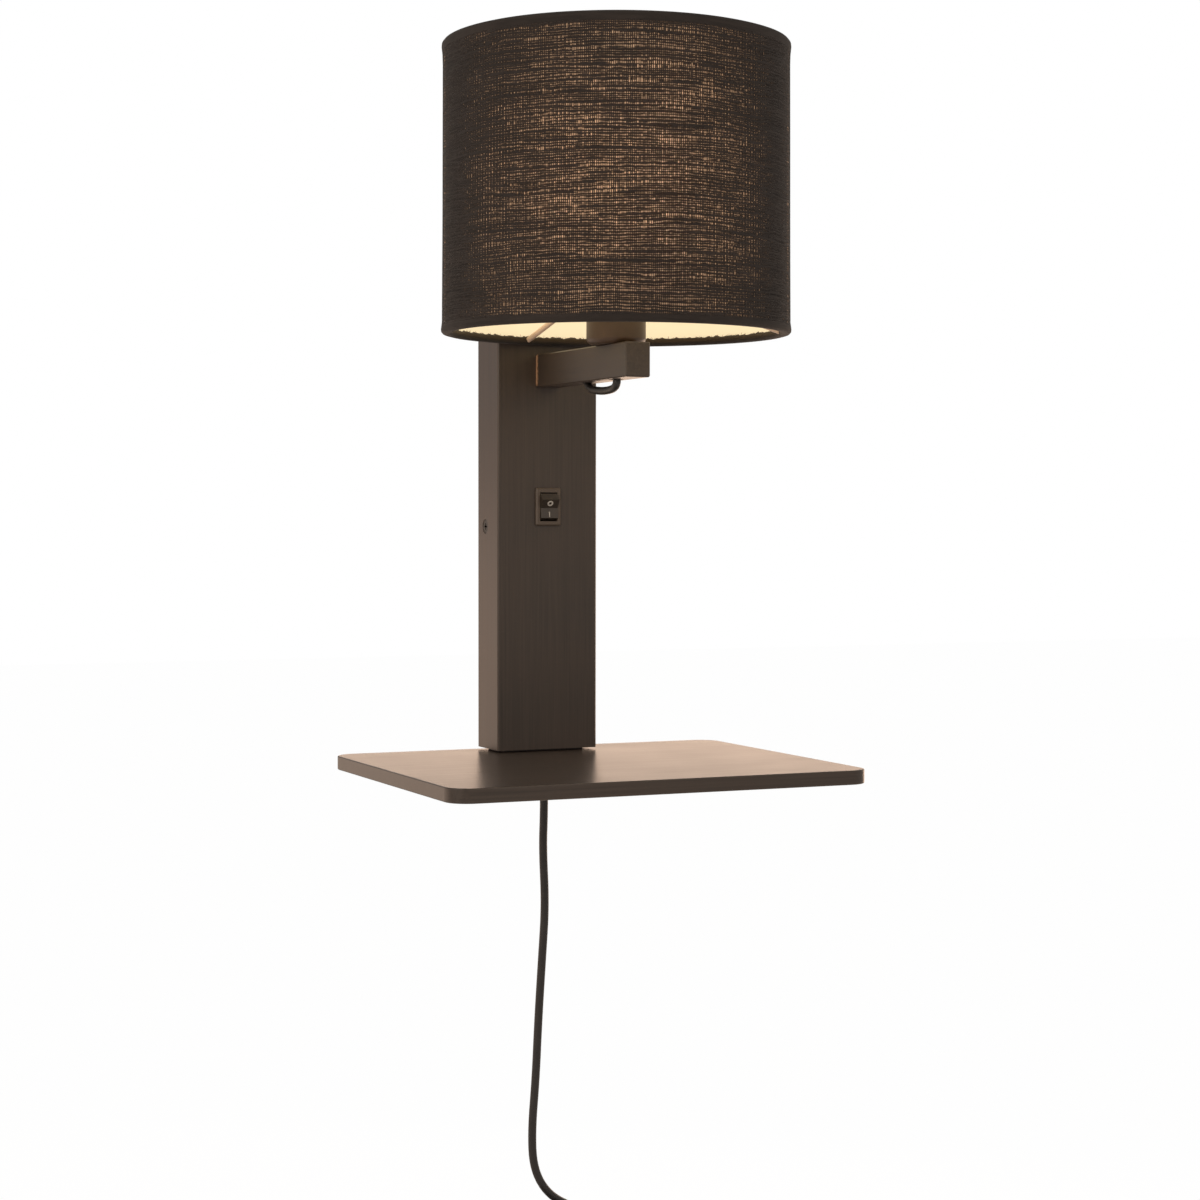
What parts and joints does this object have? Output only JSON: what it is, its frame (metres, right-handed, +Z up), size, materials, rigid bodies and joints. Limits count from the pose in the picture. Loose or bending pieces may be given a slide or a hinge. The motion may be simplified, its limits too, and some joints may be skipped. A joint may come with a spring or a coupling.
{
  "type": "wall lamp with shelf",
  "caption": "Wall lamp on a wooden column with a shelf at its foot, an arm with a lamp holder and round linen shade, a rocker switch and a mains lead with plug.",
  "frame": {"origin": "middle of the wall plate's back, midway between its two screw holes, on the wall's plane", "axes": "+Z up, -Y from the wall into the room, +X to the right of somebody who looks at the lamp"},
  "size_m": [0.232, 0.211, 0.7633],
  "materials": {
    "dark_wood": "dark stained wood under a satin lacquer",
    "linen": "black-brown slubby linen",
    "cream_film": "cream lampshade lining film",
    "cream_wire": "cream powder coat",
    "zinc_steel": "zinc plated",
    "dark_screw": "blackened screw heads",
    "cup_brown": "matt dark brown lacquer",
    "holder_plastic": "black heat-resistant plastic",
    "brass": "bare brass",
    "opal": "opal diffuser",
    "white_plastic": "white plastic",
    "nickel": "nickel plated",
    "black_gloss": "black glossy plastic",
    "grey_plastic": "pale insulating plastic",
    "black_cable": "black flexible cable sheath",
    "brown_core": "brown insulated core",
    "blue_core": "blue insulated core"
  },
  "bodies": {
    "lamp": {"wall_plate": "zinc_steel", "side_screws": "dark_screw", "column_front": "dark_wood", "column_left": "dark_wood", "column_right": "dark_wood", "column_cap": "dark_wood", "column_foot": "dark_wood", "shelf_board": "dark_wood", "shelf_screws": "zinc_steel", "lamp_arm": "dark_wood", "arm_screws": "zinc_steel", "socket_cup": "cup_brown", "threaded_nipple": "zinc_steel", "nipple_nut": "zinc_steel", "holder_body": "holder_plastic", "holder_contact": "brass", "holder_shell": "brass", "clamp_ring": "holder_plastic", "bulb_contact": "nickel", "bulb_cap": "nickel", "bulb_housing": "white_plastic", "led_board": "white_plastic", "bulb_globe": "opal", "shade_fitter": "cream_wire", "shade_top_ring": "cream_wire", "shade_lining": "cream_film", "shade_fabric": "linen", "switch_housing": "black_gloss", "switch_terminals": "brass", "terminal_block": "grey_plastic", "terminal_screws": "brass", "block_screw": "zinc_steel", "cord_clamp": "grey_plastic", "clamp_screws": "zinc_steel", "strain_relief": "black_cable", "lamp_lead": "black_cable", "cord_tail": "black_cable", "core_live": "brown_core", "core_neutral": "blue_core", "core_switched": "brown_core", "mains_cord": "black_cable", "cord_coil": "black_cable", "cord_tie": "black_gloss", "plug_body": "black_gloss", "plug_pins": "nickel"},
    "rocker": {"switch_rocker": "black_gloss", "switch_plunger": "brass"},
    "see_saw": {"switch_contact": "brass"}
  },
  "joints": [
    {"name": "rocker_tilt", "type": "hinge", "parent": "lamp", "child": "rocker", "pos_m": [0, -0.0285, 0.011], "axis": [-1, 0, 0], "range_deg": [0, 24]},
    {"name": "contact_tilt", "type": "hinge", "parent": "lamp", "child": "see_saw", "pos_m": [0, -0.0205, 0.011], "axis": [1, 0, 0], "range_deg": [0, 16]}
  ],
  "couplings": [
    {"joint": "contact_tilt", "follows": "rocker_tilt", "ratio": 0.66667}
  ]
}
